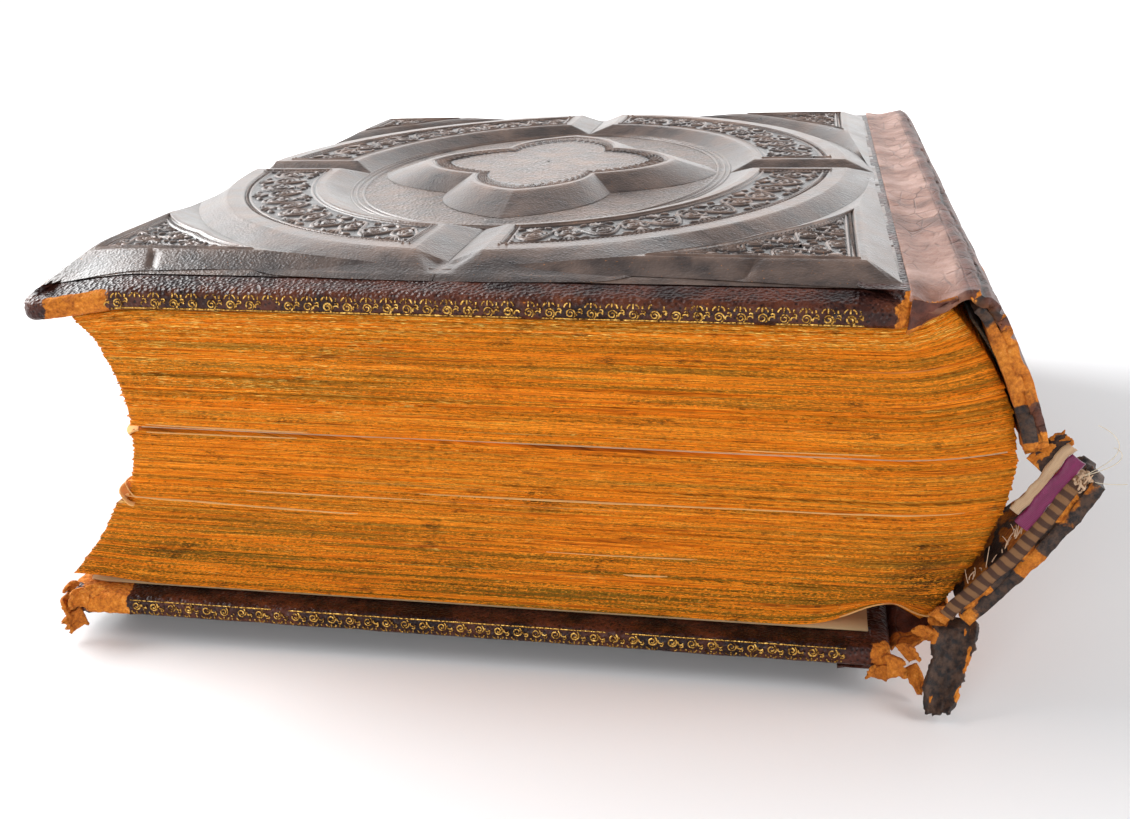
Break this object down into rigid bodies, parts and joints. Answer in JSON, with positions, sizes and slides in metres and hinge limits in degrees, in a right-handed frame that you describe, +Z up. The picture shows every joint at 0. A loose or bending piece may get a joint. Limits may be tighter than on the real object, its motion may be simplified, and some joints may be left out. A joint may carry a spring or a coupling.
{
  "type": "bible",
  "caption": "Closed large leather-bound book with relief-moulded boards, a thick gilt-edged text block and a spine broken lengthwise; boards, leaves and spine leather are separate.",
  "frame": {"origin": "on the flat face of the lower board's centre panel, the plane the closed book rests on, at the middle of the boards", "axes": "+X from the fore-edge to the spine, +Y along the book's height from the tail edge to the head edge, +Z up through the thickness"},
  "size_m": [0.2831, 0.3477, 0.1112],
  "materials": {
    "board_leather": "dark polished relief-moulded leather, worn",
    "spine_leather": "matt faded wrinkled leather",
    "torn_leather": "torn suede side of red-rotted leather",
    "millboard": "fibrous board",
    "endpaper": "tanned paper",
    "gilt_leaves": "paper leaves with worn gilt edges",
    "lining_cloth": "open woven lining cloth",
    "linen_tape": "linen tape and cord",
    "headband": "two-tone striped woven headband",
    "silk": "plain silk"
  },
  "bodies": {
    "lower_book": {"lower_pastedown": "endpaper", "lower_board_core": "millboard", "lower_field_pad": "millboard", "lower_cover_leather": "board_leather", "lower_ring_panel_1": "board_leather", "lower_ring_panel_2": "board_leather", "lower_ring_panel_3": "board_leather", "lower_ring_panel_4": "board_leather", "lower_corner_panel_1": "board_leather", "lower_corner_panel_2": "board_leather", "lower_corner_panel_3": "board_leather", "lower_corner_panel_4": "board_leather", "lower_centre_panel": "board_leather", "lower_flyleaf": "endpaper", "leaves_1": "gilt_leaves", "leaves_2": "gilt_leaves", "leaves_3": "gilt_leaves", "leaves_4": "gilt_leaves", "lower_spine_lining": "lining_cloth", "lower_sewing_tape_1": "linen_tape", "lower_sewing_tape_2": "linen_tape", "lower_sewing_tape_3": "linen_tape", "slipped_leaf": "endpaper", "lower_joint_leather": "spine_leather", "joint_scrap": "torn_leather"},
    "upper_leaves": {"leaves_5": "gilt_leaves", "leaves_6": "gilt_leaves", "leaves_7": "gilt_leaves", "upper_spine_lining": "lining_cloth", "upper_sewing_tape_1": "linen_tape", "upper_sewing_tape_2": "linen_tape", "upper_sewing_tape_3": "linen_tape", "upper_flyleaf": "endpaper", "upper_joint_leather": "spine_leather"},
    "upper_board": {"upper_pastedown": "endpaper", "upper_board_core": "millboard", "upper_field_pad": "millboard", "upper_cover_leather": "board_leather", "upper_ring_panel_1": "board_leather", "upper_ring_panel_2": "board_leather", "upper_ring_panel_3": "board_leather", "upper_ring_panel_4": "board_leather", "upper_corner_panel_1": "board_leather", "upper_corner_panel_2": "board_leather", "upper_corner_panel_3": "board_leather", "upper_corner_panel_4": "board_leather", "upper_centre_panel": "board_leather"},
    "upper_spine_shell": {"upper_spine_leather": "spine_leather", "upper_spine_liner": "torn_leather"},
    "lower_spine_flap": {"lower_spine_leather": "torn_leather", "lower_spine_liner": "millboard", "headband": "headband", "silk_strip": "silk", "headband_core": "linen_tape"}
  },
  "joints": [
    {"name": "upper_leaves_turn", "type": "hinge", "parent": "lower_book", "child": "upper_leaves", "pos_m": [0.1478, 0, 0.0666], "axis": [0, 1, 0], "range_deg": [0, 60]},
    {"name": "upper_board_open", "type": "hinge", "parent": "upper_leaves", "child": "upper_board", "pos_m": [0.1183, 0, 0.1036], "axis": [0, 1, 0], "range_deg": [0, 110], "deforming": ["upper_joint_leather"]},
    {"name": "upper_spine_swing", "type": "hinge", "parent": "upper_leaves", "child": "upper_spine_shell", "pos_m": [0.131, 0, 0.1036], "axis": [0, 1, 0], "range_deg": [-60, 0]},
    {"name": "lower_spine_flap_swing", "type": "hinge", "parent": "lower_book", "child": "lower_spine_flap", "pos_m": [0.1346, 0, 0.0186], "axis": [0, 1, 0], "range_deg": [-4, 50]}
  ],
  "couplings": [
    {"joint": "upper_spine_swing", "follows": "upper_leaves_turn", "ratio": -1}
  ]
}
